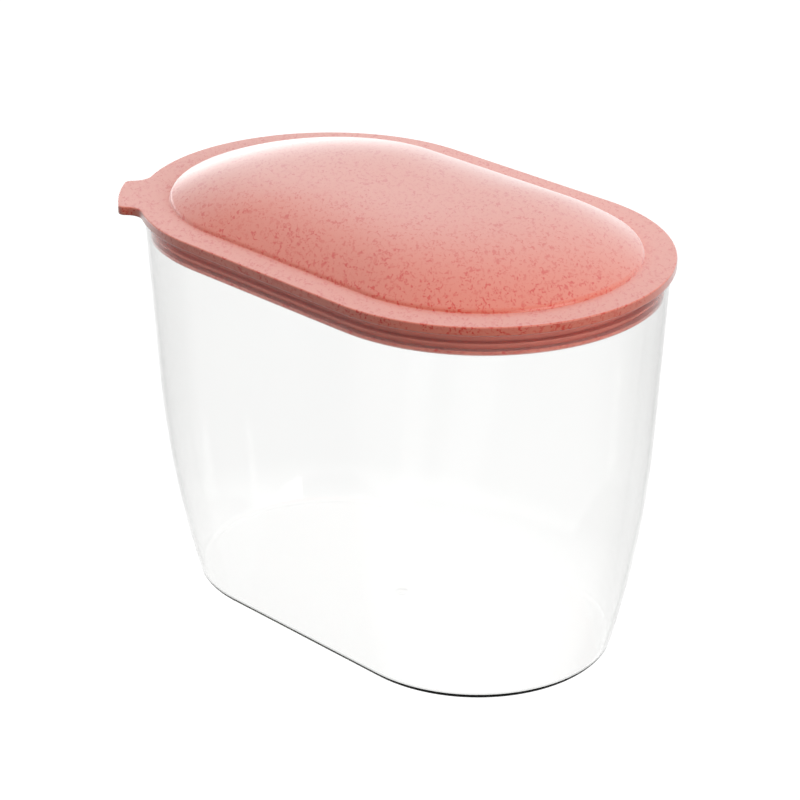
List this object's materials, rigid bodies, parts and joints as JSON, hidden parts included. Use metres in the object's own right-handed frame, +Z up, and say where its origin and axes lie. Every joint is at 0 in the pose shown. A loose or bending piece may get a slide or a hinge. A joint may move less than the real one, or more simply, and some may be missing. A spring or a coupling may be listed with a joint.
{
  "type": "food storage container",
  "caption": "Oval see-through food keeper with upright sides that curve in to a flat base, and a domed flecked plug-in lid with a soft seal and a corner lift tab.",
  "frame": {"origin": "middle of the base, on the surface that the container stands on", "axes": "+Z up, +X along the longer side, +Y across; the lift tab points between -X and -Y"},
  "size_m": [0.2, 0.1274, 0.1525],
  "materials": {
    "clear_plastic": "contact-clear polypropylene, slightly hazy, smooth moulded gloss",
    "coral_flecked_plastic": "moulded satin coral plastic with fine red flecks",
    "coral_silicone": "soft moulded silicone, matt"
  },
  "bodies": {
    "vessel": {"container_body": "clear_plastic"},
    "lid": {"lid_shell": "coral_flecked_plastic", "lid_seal": "coral_silicone"}
  },
  "joints": [
    {"name": "lid_lift", "type": "slide", "parent": "vessel", "child": "lid", "axis": [0, 0, 1], "range_m": [0, 0.16]}
  ]
}
